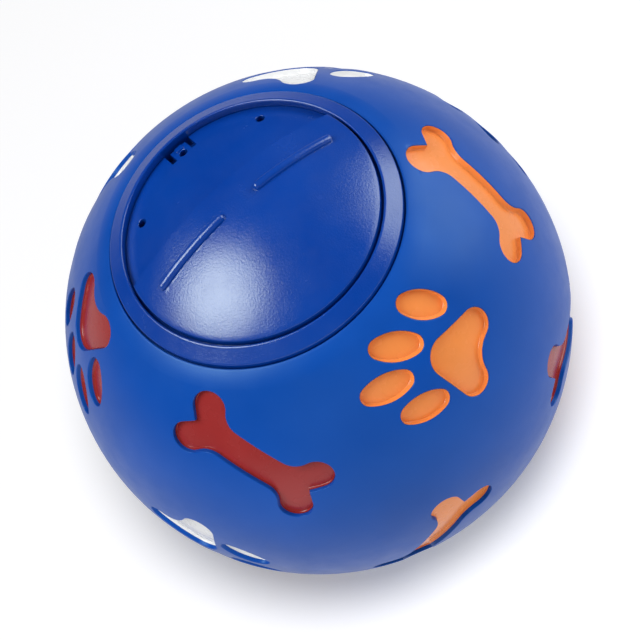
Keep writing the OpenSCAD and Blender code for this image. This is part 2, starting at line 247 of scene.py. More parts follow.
class PlateSizes(bpy.types.PropertyGroup):
    """Sizes of the port plate under the shutter."""
    rim_r: length("Rim radius", "Outside radius of the plate", PLATE_HIGH.x)
    rim_z: length("Rim height", "Height of the plate's flat rim above the ball's centre", PLATE_LOW.z)
    rim_w: length("Rim width", "Width of the plate's rim", 0.0026)
    depth: length("Depth", "Depth of the plate's dome below the skin of the ball", 0.0028)
    rim_rise: length("Rim rise", "How far the dome's flatter curve lifts its rim", 0.0008)
    thickness: length("Thickness", "Thickness of the plate's dome", 0.002)
    lap: length("Lap", "How far the plate reaches past the pivot before the port begins", 0.007)
    port_round: length("Port round", "Radius in the corners of the port", 0.0025)
    edge_round: length("Edge round", "Radius on the edges of the cuts", 0.0002)
    index_r: length("Index radius", "Radius of the index holes", 0.00095)
    index_place: length("Index place", "Distance from the pivot to an index hole", 0.0238)
    index_angle: angle("Index angle", "Angle between two index holes", 43)
    tongue_w: length("Tongue width", "Width of the spring tongue", 0.0041)
    slit_len: length("Slit length", "Length of the slits beside the tongue", 0.0045)
    slit_w: length("Slit width", "Width of those slits", 0.0012)
    tongue_gap: length("Tongue gap", "Gap between the tongue's tip and the collar", 0.0009)
    nub_w: length("Nub width", "Width of the nub on the tongue", 0.002)
    nub_len: length("Nub length", "Length of the nub on the tongue", 0.0017)
    nub_h: length("Nub height", "Height of the nub on the tongue", 0.00035)
    nub_round: length("Nub round", "Radius on the edges of the nub", 0.0002)
    thrust_r: length("Thrust radius", "Radius of the thrust face round the bearing", 0.005)
    thrust_rise: length("Thrust rise", "Height of the thrust face above the dome", 0.00015)
    bearing_r: length("Bearing radius", "Radius of the bearing's bore", 0.003)
    bearing_len: length("Bearing length", "Length of the bearing", 0.0028)


class ShutterSizes(bpy.types.PropertyGroup):
    """Sizes of the half-dome shutter and its post."""
    rim_r: length("Rim radius", "Radius of the shutter's rim", SHUTTER_HIGH.x)
    lap: length("Lap", "How far the straight edge lies past the pivot", SHUTTER_HIGH.y)
    post_z: length("Post height", "Height of the post's end above the ball's centre", SHUTTER_LOW.z)
    thickness: length("Thickness", "Thickness of the half-dome", 0.0017)
    rim_round: length("Rim round", "Radius on the rim", 0.00025)
    edge_round: length("Edge round", "Radius on the straight edge", 0.0006)
    ridge_w: length("Ridge width", "Width of the finger ridges", 0.0019)
    ridge_h: length("Ridge height", "Height of the finger ridges", 0.0012)
    ridge_round: length("Ridge round", "Radius on the top edges of a ridge", 0.0009)
    ridge_foot: length("Ridge foot", "Radius where a ridge meets the dome", 0.00012)
    ridge_start: length("Ridge start", "Distance from the pivot to a ridge", 0.004)
    ridge_end: length("Ridge end", "Distance from the pivot to a ridge's outer end", 0.023)
    post_r: length("Post radius", "Radius of the pivot post", 0.0029)
    screw_r: length("Screw radius", "Radius of the hole for the screw", 0.0013)
    post_cap: length("Post cap", "Skin of plastic above the screw hole", 0.00175)
    thrust_gap: length("Thrust gap", "Running gap between the thrust faces", 0.0002)
    pip_r: length("Pip radius", "Radius of the detent pip", 0.00075)
    pip_h: length("Pip height", "Height of the detent pip", 0.0004)


class Finishes(bpy.types.PropertyGroup):
    """Colours and gloss of the materials."""
    vinyl_deep: colour("Vinyl, deep", "Deeper shade of the vinyl", (0.001, 0.058, 0.350))
    vinyl_pale: colour("Vinyl, pale", "Paler shade of the vinyl", (0.002, 0.070, 0.405))
    vinyl_rough: share("Vinyl roughness", "Roughness of the vinyl", 0.36)
    plastic_deep: colour("Plastic, deep", "Deeper shade of the plastic", (0.0005, 0.040, 0.300))
    plastic_pale: colour("Plastic, pale", "Paler shade of the plastic", (0.001, 0.050, 0.345))
    plastic_rough: share("Plastic roughness", "Roughness of the plastic", 0.23)
    orange: colour("Orange", "Colour of the orange paint", (0.890, 0.280, 0.066))
    red: colour("Red", "Colour of the red paint", (0.320, 0.026, 0.025))
    white: colour("White", "Colour of the white paint", (0.800, 0.810, 0.815))
    steel: colour("Steel", "Colour of the zinc-plated steel", (0.620, 0.640, 0.660))
    paint_rough: share("Paint roughness", "Roughness of the paints", 0.26)
    steel_rough: share("Steel roughness", "Roughness of the zinc-plated steel", 0.29)


class StageSettings(bpy.types.PropertyGroup):
    """Camera, lamps and floor."""
    azimuth: angle("Azimuth", "Direction of the camera round the mouth's axis", -9.0)
    elevation: angle("Elevation", "Height of the camera above the ball's equator", 58.8)
    roll: angle("Roll", "Turn of the camera about its own axis", 34.2)
    distance: length("Distance", "Distance from the camera to the ball's centre", 0.55)
    lens: FloatProperty(name="Lens", description="Focal length in millimetres", default=142.1)
    lamp_distance: length("Lamp distance", "Distance from the lamps to the ball's centre", 0.9)
    key_power: power("Key", "Power of the softbox at the left", 6.3)
    side_power: power("Side", "Power of the softbox at the right", 5.0)
    floor_power: power("Floor lamp", "Power of the lamp that lights the floor", 6.4)
    fill_power: power("Fill", "Power of the softbox below, which reflections don't show", 2.8)
    top_power: power("Top", "Power of the softbox above, which reflections don't show", 1.7)
    ambient: share("Ambient", "Strength of the even light from all sides", 0.27)
    floor_glow: share("Floor glow", "How far the floor is lifted towards white", 0.27)


class TreatBallSettings(bpy.types.PropertyGroup):
    """Everything that a user can change on the treat ball."""
    ball: PointerProperty(type=BallSizes, name="Ball")
    motif: PointerProperty(type=MotifSizes, name="Motifs")
    collar: PointerProperty(type=CollarSizes, name="Collar")
    plate: PointerProperty(type=PlateSizes, name="Port plate")
    shutter: PointerProperty(type=ShutterSizes, name="Shutter")
    finish: PointerProperty(type=Finishes, name="Finishes")
    stage: PointerProperty(type=StageSettings, name="Stage")


class Pen:
    """Draws an outline in the XY plane by turning and sliding one vertex."""

    def __init__(self, bm, x, y, step=FINE):
        self.bm = bm
        self.step = step
        self.tip = bm.verts.new((x, y, 0))

    def arc(self, x, y, turn):
        """Turns the tip about (x, y), anticlockwise where the turn is positive."""
        centre = Vector((x, y, 0))
        steps = max(3, round(abs(turn) * (self.tip.co - centre).length / self.step))
        self.tip = bmesh.ops.spin(self.bm, geom=[self.tip], cent=centre, axis=(0, 0, 1),
                                  angle=turn, steps=steps)["geom_last"][0]

    def line(self, x, y):
        """Slides the tip to (x, y)."""
        move = Vector((x, y, 0)) - self.tip.co
        steps = max(1, round(move.length / self.step))
        self.tip = bmesh.ops.spin(self.bm, geom=[self.tip], axis=(0, 0, 1), dvec=move / steps,
                                  angle=0, steps=steps)["geom_last"][0]


def mirror_outline(bm, *axes):
    """Completes an outline that was drawn as a half or a quarter."""
    for axis in axes:
        bmesh.ops.mirror(bm, geom=bm.verts[:] + bm.edges[:], axis=axis, merge_dist=MERGE)


def dome_height(radius, rho):
    """Height above the ball's centre of a sphere's skin, at a distance from the axis."""
    return math.sqrt(radius * radius - rho * rho)


def lathe(bm):
    """Stands the drawn section upright and spins it about the Z axis."""
    bmesh.ops.rotate(bm, verts=bm.verts, matrix=Matrix.Rotation(math.pi / 2, 3, "X"))
    bmesh.ops.spin(bm, geom=bm.verts[:] + bm.edges[:], axis=(0, 0, 1), angle=2 * math.pi,
                   steps=TURN_STEPS, use_merge=True)
    bmesh.ops.remove_doubles(bm, verts=bm.verts, dist=MERGE)
    bmesh.ops.recalc_face_normals(bm, faces=bm.faces)


def mesh_object(bm, name):
    """Puts a finished bmesh into a new object of the scene."""
    mesh = bpy.data.meshes.new(name)
    bm.to_mesh(mesh)
    bm.free()
    obj = bpy.data.objects.new(name, mesh)
    bpy.context.scene.collection.objects.link(obj)
    return obj


def combine(obj, tool_bm, operation):
    """Cuts the tool out of an object, or joins it on, and throws the tool away."""
    tool = mesh_object(tool_bm, obj.name + "_tool")
    tool_mesh = tool.data
    modifier = obj.modifiers.new("combine", "BOOLEAN")
    modifier.object = tool
    modifier.operation = operation
    modifier.solver = "MANIFOLD"
    before = obj.data
    graph = bpy.context.evaluated_depsgraph_get()
    after = bpy.data.meshes.new_from_object(obj.evaluated_get(graph))
    obj.modifiers.clear()
    obj.data = after
    bpy.data.objects.remove(tool)
    bpy.data.meshes.remove(tool_mesh)
    if len(after.vertices) in (0, len(before.vertices)):
        raise RuntimeError(f"{obj.name}: the {operation.lower()} changed nothing")
    bpy.data.meshes.remove(before)


def settle(obj, name, body, slot, material, *nodes):
    """Gives a finished piece its name, shading, material and place in the frame."""
    obj.name = name
    obj.data.name = name
    obj.data.shade_smooth()
    obj.data.set_sharp_from_angle(angle=SHARP)
    obj.data.materials.clear()
    obj.data.materials.append(material)
    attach(obj, body)
    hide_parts(*nodes)


def bone_outline(bm, s, grow):
    """Outline of a bone along Y, grown outwards."""
    kx = s.knuckle_spacing / 2
    ky = s.bone_len / 2
    fillet_x = s.shaft_w / 2 + s.shaft_fillet
    reach = s.knuckle_r + s.shaft_fillet
    fillet_y = ky - math.sqrt(reach ** 2 - (fillet_x - kx) ** 2)
    touch = math.atan2(ky - fillet_y, kx - fillet_x)
    # The side of the notch is the line from its bottom that touches a knuckle
    side = math.atan2(-s.notch_rise, kx) + math.asin(s.knuckle_r / math.hypot(kx, s.notch_rise))
    pen = Pen(bm, s.shaft_w / 2 + grow, 0)
    pen.line(s.shaft_w / 2 + grow, fillet_y)
    pen.arc(fillet_x, fillet_y, touch - math.pi)
    pen.arc(kx, ky, side - touch + 3 * math.pi / 2)
    pen.line(0, ky + s.notch_rise + grow / math.cos(side))
    mirror_outline(bm, "X", "Y")


def toe_outline(bm, s, long, wide, x, y, lean, grow):
    """Outline of one toe, an oval of four arcs, grown outwards."""
    end_y = long / 2 - s.toe_end_r
    side_r = (end_y ** 2 + wide ** 2 / 4 - s.toe_end_r ** 2) / (wide - 2 * s.toe_end_r)
    side_x = wide / 2 - side_r
    touch = math.atan2(end_y, -side_x)
    toe = bmesh.new()
    pen = Pen(toe, wide / 2 + grow, 0)
    pen.arc(side_x, 0, touch)
    pen.arc(0, end_y, math.pi / 2 - touch)
    mirror_outline(toe, "X", "Y")
    place = Matrix.Translation((x, y, 0)) @ Matrix.Rotation(lean, 4, "Z")
    add_copy(bm, toe, place)


def pad_outline(bm, s, grow):
    """Outline of a paw's pad with its front towards +Y, grown outwards."""
    hx = s.heel_spacing / 2
    heel_y = s.pad_y - s.pad_len
    # The side is the common tangent of the front and a heel
    tilt = math.acos((s.pad_front_r - s.heel_r) / math.hypot(hx, s.pad_len))
    side = math.atan2(-s.pad_len, hx) + tilt
    # The hollow behind is a circle that touches both heels
    drop = s.heel_r - s.heel_hollow
    hollow_r = (hx ** 2 + drop ** 2 - s.heel_r ** 2) / (2 * s.heel_hollow)
    hollow_y = heel_y - drop - hollow_r
    touch = math.atan2(hollow_y - heel_y, -hx)
    heel_r = s.heel_r + grow
    pen = Pen(bm, 0, s.pad_y + s.pad_front_r + grow)
    pen.arc(0, s.pad_y, side - math.pi / 2)
    pen.line(hx + heel_r * math.cos(side), heel_y + heel_r * math.sin(side))
    pen.arc(hx, heel_y, touch - side)
    pen.arc(0, hollow_y, -math.pi / 2 - touch)


def paw_outline(bm, s, grow):
    """Outline of a paw print with its toes towards +Y, grown outwards."""
    pad = bmesh.new()
    pad_outline(pad, s, grow)
    mirror_outline(pad, "X")
    add_copy(bm, pad, Matrix.Translation((s.pad_shift, 0, 0)) @ Matrix.Rotation(s.pad_lean, 4, "Z"))
    for kind, x, y, lean in TOES:
        long = getattr(s, kind + "_toe_len")
        wide = getattr(s, kind + "_toe_w")
        toe_outline(bm, s, long, wide, x, y, math.radians(lean), grow)


OUTLINES = {"bone": bone_outline, "paw": paw_outline}


def add_copy(bm, part, place):
    """Adds a bmesh to another one at its place, and frees it."""
    mesh = bpy.data.meshes.new("copy")
    bmesh.ops.transform(part, matrix=place, verts=part.verts)
    part.to_mesh(mesh)
    part.free()
    bm.from_mesh(mesh)
    bpy.data.meshes.remove(mesh)


def fill_outlines(bm):
    """Fills closed outlines in the XY plane with faces that look up."""
    bmesh.ops.remove_doubles(bm, verts=bm.verts, dist=MERGE)
    bmesh.ops.edgeloop_fill(bm, edges=bm.edges)
    bm.normal_update()
    down = [face for face in bm.faces if face.normal.z < 0]
    bmesh.ops.reverse_faces(bm, faces=down)
    return bm.faces[:]


def press(bm, faces, section):
    """Presses flat faces down through the points of a section: growth and height of each."""
    bmesh.ops.translate(bm, verts=bm.verts, vec=(0, 0, section[0][1]))
    for (grow, high), (next_grow, next_high) in zip(section, section[1:]):
        bmesh.ops.inset_region(bm, faces=faces, use_boundary=True, use_even_offset=True,
                               thickness=grow - next_grow, depth=next_high - high)


def slice_flat(bm, faces, step):
    """Cuts flat faces into a grid, so that they can follow the ball."""
    for axis in (Vector((1, 0, 0)), Vector((0, 1, 0))):
        places = [vert.co.dot(axis) for face in faces for vert in face.verts]
        count = math.ceil((max(places) - min(places)) / step)
        for i in range(1, count):
            edges = {edge for face in faces for edge in face.edges}
            verts = {vert for face in faces for vert in face.verts}
            place = min(places) + (max(places) - min(places)) * i / count
            out = bmesh.ops.bisect_plane(bm, geom=[*faces, *edges, *verts], dist=MERGE,
                                         plane_co=axis * place, plane_no=axis)
            faces = [item for item in out["geom"] if isinstance(item, bmesh.types.BMFace)]


def drape(verts, radius):
    """Lays points, whose heights are over a flat skin, on the dome of that radius."""
    for vert in verts:
        vert.co.z = dome_height(radius + vert.co.z, vert.co.xy.length)


def rolled_rim(radius):
    """Section of a rolled rim: it starts above the skin, so that it crosses the skin cleanly."""
    flare = RIM_FLARE * radius
    lift = RIM_LIFT * radius
    points = [(radius + flare, lift)]
    for degrees in RIM_TURNS:
        turn = math.radians(degrees)
        points.append((radius * (1 - math.sin(turn)), -radius * (1 - math.cos(turn))))
    return points


def recess_section(s):
    """Section of a recess, from above the skin to its floor."""
    points = rolled_rim(s.rim_round)
    for degrees in FOOT_TURNS:
        turn = math.radians(degrees)
        grow = -s.draft - s.floor_round * (1 - math.cos(turn))
        points.append((grow, s.floor_round * (1 - math.sin(turn)) - s.depth))
    return points


def close_tool(bm, lid_z):
    """Raises the open rim of a pressed sheet to a flat lid."""
    rim = [edge for edge in bm.edges if edge.is_boundary]
    raised = bmesh.ops.extrude_edge_only(bm, edges=rim)["geom"]
    for vert in (item for item in raised if isinstance(item, bmesh.types.BMVert)):
        vert.co.z = lid_z
    bmesh.ops.edgeloop_fill(bm, edges=[edge for edge in bm.edges if edge.is_boundary])
    bmesh.ops.recalc_face_normals(bm, faces=bm.faces)


def recess_tool(outline, s, radius):
    """Tool that cuts one motif into the skin of the ball, at its top."""
    bm = bmesh.new()
    section = recess_section(s)
    outline(bm, s, section[0][0])
    floors = fill_outlines(bm)
    press(bm, floors, section)
    slice_flat(bm, floors, SKIN_STEP)
    drape(bm.verts, radius)
    close_tool(bm, radius + CLEAR)
    return bm


def coat_section(s, edge):
    """Section of the paint in a recess, with a point where the paint ends on the wall."""
    points = [(grow - s.coat, max(high, s.coat - s.depth)) for grow, high in recess_section(s)]
    for i, ((grow, high), (next_grow, next_high)) in enumerate(zip(points, points[1:])):
        if high > -edge > next_high:
            way = (high + edge) / (high - next_high)
            points.insert(i + 1, (grow + way * (next_grow - grow), -edge))
            return points
    return points


def coat_sheet(outline, s, radius, edge):
    """Thin coat of paint on the floor and the wall of one motif, at the top of the ball."""
    bm = bmesh.new()
    section = coat_section(s, edge)
    outline(bm, s, section[0][0])
    floors = fill_outlines(bm)
    press(bm, floors, section)
    slice_flat(bm, floors, SKIN_STEP)
    bare = [face for face in bm.faces if max(vert.co.z for vert in face.verts) > MERGE - edge]
    bmesh.ops.delete(bm, geom=bare, context="FACES")
    bmesh.ops.recalc_face_normals(bm, faces=bm.faces)
    bmesh.ops.solidify(bm, geom=bm.faces, thickness=s.coat / 2)
    drape(bm.verts, radius)
    bmesh.ops.recalc_face_normals(bm, faces=bm.faces)
    return bm


def motif_place(azimuth, polar, turn):
    """Matrix that carries a motif from the top of the ball to its place."""
    return (Matrix.Rotation(math.radians(azimuth), 4, "Z") @ Matrix.Rotation(math.radians(polar), 4, "Y")
            @ Matrix.Rotation(math.radians(turn + 90), 4, "Z"))


def ball_section(bm, s, collar):
    """Half section of the ball: its skin, its stepped mouth and its cavity."""
    mouth_r = collar.flange_r + s.mouth_gap
    neck_r = collar.flange_r - collar.flange_over
    hole_r = neck_r + s.play
    relief_r = neck_r + collar.barb_over + s.play
    ledge_z = dome_height(s.radius, mouth_r) - s.rebate
    lip_z = ledge_z - s.lip
    cavity_r = s.radius - s.wall
    relief_z = dome_height(cavity_r, relief_r)
    # The skin ends at the angle from which the roll and the round reach the wall of the mouth
    skin_arm = s.radius - s.mouth_roll
    roll_arm = s.mouth_roll - s.mouth_round
    far = skin_arm + roll_arm * math.cos(s.roll_turn)
    across = roll_arm * math.sin(s.roll_turn)
    edge = math.acos((mouth_r + s.mouth_round) / math.hypot(far, across)) - math.atan2(across, far)
    roll = Vector((math.cos(edge), math.sin(edge))) * skin_arm
    top = edge + s.roll_turn
    corner = roll + Vector((math.cos(top), math.sin(top))) * roll_arm
    pen = Pen(bm, 0, -s.radius, SKIN_STEP)
    pen.arc(0, 0, edge + math.pi / 2)
    pen.step = FINE / 2
    pen.arc(roll.x, roll.y, s.roll_turn)
    pen.arc(corner.x, corner.y, math.pi - top)
    pen.step = SKIN_STEP
    for x, z in ((mouth_r, ledge_z), (hole_r, ledge_z), (hole_r, lip_z), (relief_r, lip_z),
                 (relief_r, relief_z)):
        pen.line(x, z)
    pen.step = CAVITY_STEP
    pen.arc(0, 0, -math.atan2(relief_z, relief_r) - math.pi / 2)


def smooth_skin(mesh, radius):
    """Points the normals of the skin straight out, whatever its triangles are."""
    normals = []
    for loop, corner in zip(mesh.loops, mesh.corner_normals):
        place = mesh.vertices[loop.vertex_index].co
        on_skin = abs(radius - place.length) < SKIN_DEPTH
        normals.append(place.normalized() if on_skin else corner.vector.copy())
    mesh.normals_split_custom_set(normals)


def collar_section(bm, s, ball, plate):
    """Closed section of the collar: flange, bore, seat, neck and barb."""
    neck_r = s.flange_r - s.flange_over
    bore_r = neck_r - s.neck_t
    barb_r = neck_r + s.barb_over
    mouth_r = s.flange_r + ball.mouth_gap
    ledge_z = dome_height(ball.radius, mouth_r) - ball.rebate
    flange_z = ledge_z + s.fit
    barb_z = ledge_z - ball.lip - ball.play
    neck_z = barb_z - s.barb_h
    seat_r = bore_r - s.seat_w
    seat_z = plate.rim_z - s.fit
    outer_x = s.flange_r - s.flange_round
    outer_z = dome_height(ball.radius - s.flange_round, outer_x) - s.flange_drop
    inner_x = bore_r + s.bore_round
    inner_z = dome_height(ball.radius - s.bore_round, inner_x)
    # The flange's face touches both rounds
    face = Vector((inner_x - outer_x, inner_z - outer_z))
    lean = math.atan2(face.y, face.x) - math.acos((s.flange_round - s.bore_round) / face.length)
    pen = Pen(bm, s.flange_r, flange_z, FINE / 4)
    pen.line(s.flange_r, outer_z)
    pen.arc(outer_x, outer_z, lean)
    pen.line(inner_x + s.bore_round * math.cos(lean), inner_z + s.bore_round * math.sin(lean))
    pen.arc(inner_x, inner_z, math.pi - lean)
    pen.step = SKIN_STEP
    for x, z in ((bore_r, seat_z), (seat_r, seat_z), (seat_r, seat_z - s.seat_t),
                 (bore_r, seat_z - s.seat_t - s.seat_w), (bore_r, neck_z),
                 (bore_r + s.neck_end_t, neck_z), (barb_r, barb_z - s.barb_land),
                 (barb_r, barb_z), (neck_r, barb_z), (neck_r, flange_z), (s.flange_r, flange_z)):
        pen.line(x, z)


def plate_dome(s, ball):
    """Centre height and radius of the plate's dome, which is flatter than the ball."""
    top_z = ball.radius - s.depth
    sag = top_z - dome_height(top_z, s.rim_r) - s.rim_rise
    top_r = (s.rim_r ** 2 + sag ** 2) / (2 * sag)
    return top_z - top_r, top_r


def plate_section(bm, s, ball):
    """Closed section of the port plate: dome, flat rim and bearing."""
    centre, top_r = plate_dome(s, ball)
    under_r = top_r - s.thickness
    bearing_top = centre + top_r + s.thrust_rise
    bearing_z = bearing_top - s.bearing_len
    port_r = s.rim_r - s.rim_w
    rim = dome_height(top_r, s.rim_r)
    inner = dome_height(top_r, s.thrust_r)
    inner_under = dome_height(under_r, s.thrust_r)
    outer_under = dome_height(under_r, port_r)
    pen = Pen(bm, s.bearing_r, bearing_top, SKIN_STEP / 2)
    pen.line(s.thrust_r, bearing_top)
    pen.line(s.thrust_r, centre + inner)
    pen.arc(0, centre, math.atan2(rim, s.rim_r) - math.atan2(inner, s.thrust_r))
    for x, z in ((s.rim_r, s.rim_z), (port_r, s.rim_z), (port_r, centre + outer_under)):
        pen.line(x, z)
    pen.arc(0, centre, math.atan2(inner_under, s.thrust_r) - math.atan2(outer_under, port_r))
    for x, z in ((s.thrust_r, bearing_z), (s.bearing_r, bearing_z), (s.bearing_r, bearing_top)):
        pen.line(x, z)


def port_outline(bm, s, grow):
    """Outline of the half-moon port, seen along the pivot, grown outwards."""
    port_r = s.rim_r - s.rim_w
    corner_y = -s.lap - s.port_round
    corner_x = math.sqrt((port_r - s.port_round) ** 2 - corner_y ** 2)
    corner = math.atan2(corner_y, corner_x)
    pen = Pen(bm, 0, -s.lap + grow)
    pen.line(corner_x, -s.lap + grow)
    pen.arc(corner_x, corner_y, corner - math.pi / 2)
    pen.arc(0, 0, -math.pi / 2 - corner)
    mirror_outline(bm, "X")


def index_outline(bm, s, grow):
    """Outlines of the three index holes, grown outwards."""
    for turn in (-s.index_angle, 0, s.index_angle):
        hole = bmesh.new()
        bmesh.ops.create_circle(hole, segments=ROUND_STEPS, radius=s.index_r + grow)
        place = Matrix.Rotation(turn, 4, "Z") @ Matrix.Translation((0, s.index_place, 0))
        add_copy(bm, hole, place)


def slit_outline(bm, s, grow):
    """Outline of the cut round the tongue: two slits and the gap at its tip."""
    inner = s.tongue_w / 2 - grow
    outer = s.tongue_w / 2 + s.slit_w + grow
    start = s.rim_r - s.slit_len - grow
    tip = s.rim_r - s.tongue_gap - grow
    pen = Pen(bm, 0, tip)
    for x, y in ((inner, tip), (inner, start), (outer, start), (outer, s.rim_r + CLEAR),
                 (0, s.rim_r + CLEAR)):
        pen.line(x, y)
    mirror_outline(bm, "X")


def plate_tool(outline, s, ball):
    """Tool that cuts an outline right through the plate, with a small round on its edge."""
    centre, top_r = plate_dome(s, ball)
    bm = bmesh.new()
    section = rolled_rim(s.edge_round)
    section.append((0, -s.thickness))
    outline(bm, s, section[0][0])
    floors = fill_outlines(bm)
    press(bm, floors, section)
    drape(bm.verts, top_r)
    bmesh.ops.translate(bm, vec=(0, 0, centre), verts=bm.verts)
    for vert in {vert for face in floors for vert in face.verts}:
        vert.co.z = s.rim_z - CLEAR
    close_tool(bm, centre + top_r + CLEAR)
    return bm


def nub_block(s, ball):
    """Rounded nub on the tongue, between its index hole and its tip."""
    centre, top_r = plate_dome(s, ball)
    place_y = s.rim_r - s.tongue_gap - s.nub_len / 2 - s.edge_round
    lean = math.asin(place_y / top_r)
    bm = bmesh.new()
    bmesh.ops.create_cube(bm, size=1)
    bmesh.ops.scale(bm, vec=(s.nub_w, s.nub_len, 2 * s.nub_h), verts=bm.verts)
    bmesh.ops.bevel(bm, geom=bm.edges[:], offset=s.nub_round, segments=4, profile=0.5,
                    affect="EDGES", material=-1)
    bmesh.ops.translate(bm, vec=(0, 0, top_r), verts=bm.verts)
    bmesh.ops.rotate(bm, matrix=Matrix.Rotation(-lean, 3, "X"), verts=bm.verts)
    bmesh.ops.translate(bm, vec=(0, 0, centre), verts=bm.verts)
    return bm


def shutter_section(bm, s, plate, ball):
    """Half section of the shutter as a whole dome: skin, rim, shoulder, post and screw hole."""
    under_r = ball.radius - s.thickness
    round_x = s.rim_r - s.rim_round
    round_z = dome_height(ball.radius - s.rim_round, round_x)
    edge = math.atan2(round_z, round_x)
    under_z = dome_height(under_r, s.rim_r)
    shoulder_r = plate.thrust_r
    shoulder_top = dome_height(under_r, shoulder_r)
    shoulder_z = ball.radius - plate.depth + plate.thrust_rise + s.thrust_gap
    hole_top = ball.radius - s.post_cap
    pen = Pen(bm, 0, ball.radius, SKIN_STEP / 2)
    pen.arc(0, 0, edge - math.pi / 2)
    pen.step = FINE / 5
    pen.arc(round_x, round_z, -edge)
    pen.step = SKIN_STEP
    pen.line(s.rim_r, under_z)
    pen.arc(0, 0, math.atan2(shoulder_top, shoulder_r) - math.atan2(under_z, s.rim_r))
    for x, z in ((shoulder_r, shoulder_z), (s.post_r, shoulder_z), (s.post_r, s.post_z),
                 (s.screw_r, s.post_z), (s.screw_r, hole_top), (0, hole_top)):
        pen.line(x, z)


def cut_chord(bm, s):
    """Cuts the dome along its straight edge and rounds the cut."""
    out = bmesh.ops.bisect_plane(bm, geom=bm.verts[:] + bm.edges[:] + bm.faces[:], dist=MERGE,
                                 plane_co=(0, s.lap, 0), plane_no=(0, 1, 0), clear_outer=True)
    edges = [item for item in out["geom_cut"] if isinstance(item, bmesh.types.BMEdge)]
    bmesh.ops.edgeloop_fill(bm, edges=edges)
    bmesh.ops.recalc_face_normals(bm, faces=bm.faces)
    bmesh.ops.bevel(bm, geom=edges, offset=s.edge_round, segments=5, profile=0.5,
                    affect="EDGES", material=-1, clamp_overlap=True)


def ridge_block(s, ball, turn):
    """Round-edged finger ridge that follows the dome from near the pivot to near the rim."""
    half = s.ridge_w / 2
    foot = s.ridge_foot
    sink = RIDGE_SINK * foot
    begin = math.asin((s.ridge_start + half) / ball.radius)
    end = math.asin((s.ridge_end - half) / ball.radius)
    run = (end - begin) * ball.radius
    bm = bmesh.new()
    pen = Pen(bm, half + foot, -s.thickness / 2, FINE / 4)
    pen.line(half + foot, -sink)
    pen.arc(half + foot, foot - sink, -math.pi / 2)
    pen.line(half, s.ridge_h - s.ridge_round)
    pen.arc(half - s.ridge_round, s.ridge_h - s.ridge_round, math.pi / 2)
    pen.line(0, s.ridge_h)
    bmesh.ops.rotate(bm, verts=bm.verts, matrix=Matrix.Rotation(math.pi / 2, 3, "X"))
    bmesh.ops.spin(bm, geom=bm.verts[:] + bm.edges[:], axis=(0, 0, 1), angle=2 * math.pi,
                   steps=ROUND_STEPS, use_merge=True)
    bmesh.ops.remove_doubles(bm, verts=bm.verts, dist=MERGE)
    bmesh.ops.holes_fill(bm, edges=bm.edges)
    bmesh.ops.bisect_plane(bm, geom=bm.verts[:] + bm.edges[:] + bm.faces[:], dist=MERGE,
                           plane_no=(1, 0, 0))
    far = [vert for vert in bm.verts if vert.co.x > MERGE]
    bmesh.ops.translate(bm, vec=(run, 0, 0), verts=far)
    count = math.ceil(run / SKIN_STEP)
    for i in range(1, count):
        bmesh.ops.bisect_plane(bm, geom=bm.verts[:] + bm.edges[:] + bm.faces[:], dist=MERGE,
                               plane_co=(run * i / count, 0, 0), plane_no=(1, 0, 0))
    for vert in bm.verts:
        lean = begin + vert.co.x / ball.radius
        reach = ball.radius + vert.co.z
        vert.co.x = reach * math.sin(lean)
        vert.co.z = reach * math.cos(lean)
    bmesh.ops.rotate(bm, verts=bm.verts, matrix=Matrix.Rotation(turn, 3, "Z"))
    bmesh.ops.recalc_face_normals(bm, faces=bm.faces)
    return bm


def pip_block(s, plate, ball):
    """Detent pip under the shutter, over an index hole when the shutter is open."""
    under_z = dome_height(ball.radius - s.thickness, plate.index_place)
    high = s.pip_h + s.thickness / 2
    bm = bmesh.new()
    bmesh.ops.create_cone(bm, cap_ends=True, segments=24, radius1=s.pip_r * PIP_TAPER,
                          radius2=s.pip_r, depth=high)
    bmesh.ops.translate(bm, vec=(0, -plate.index_place, under_z - s.pip_h + high / 2), verts=bm.verts)
    return bm


def add_node(tree, kind, **inputs):
    """Adds a shader node, with its sockets set to values or linked to other sockets."""
    node = tree.nodes.new(kind)
    for name, value in inputs.items():
        socket = node.inputs[name.replace("_", " ")]
        if isinstance(value, bpy.types.NodeSocket):
            tree.links.new(value, socket)
        else:
            socket.default_value = value
    return node


def noise(tree, scale, detail, roughness=0.5):
    """Noise on the piece's own coordinates, with this many waves to the metre."""
    place = add_node(tree, "ShaderNodeTexCoord").outputs["Object"]
    node = add_node(tree, "ShaderNodeTexNoise", Vector=place, Scale=scale, Detail=detail,
                    Roughness=roughness)
    return node.outputs["Fac"]


def new_material(name):
    """A material with one Principled shader, and its node tree."""
    material = bpy.data.materials.get(name) or bpy.data.materials.new(name)
    material.use_nodes = True
    tree = material.node_tree
    tree.nodes.clear()
    shader = add_node(tree, "ShaderNodeBsdfPrincipled")
    add_node(tree, "ShaderNodeOutputMaterial", Surface=shader.outputs["BSDF"])
    return material, tree, shader


def shades(tint, low, high):
    """A darker and a paler shade of a colour."""
    return [low * value for value in tint], [min(1.0, high * value) for value in tint]


def add_shade(tree, shader, deep, pale, scale, detail):
    """Colours a finish in slow changes between two shades."""
    node = add_node(tree, "ShaderNodeValToRGB", Fac=noise(tree, scale, detail))
    for stop, place, tint in zip(node.color_ramp.elements, (NOISE_LOW, NOISE_HIGH), (deep, pale)):
        stop.position = place
        stop.color = (*tint, 1)
    tree.links.new(node.outputs["Color"], shader.inputs["Base Color"])


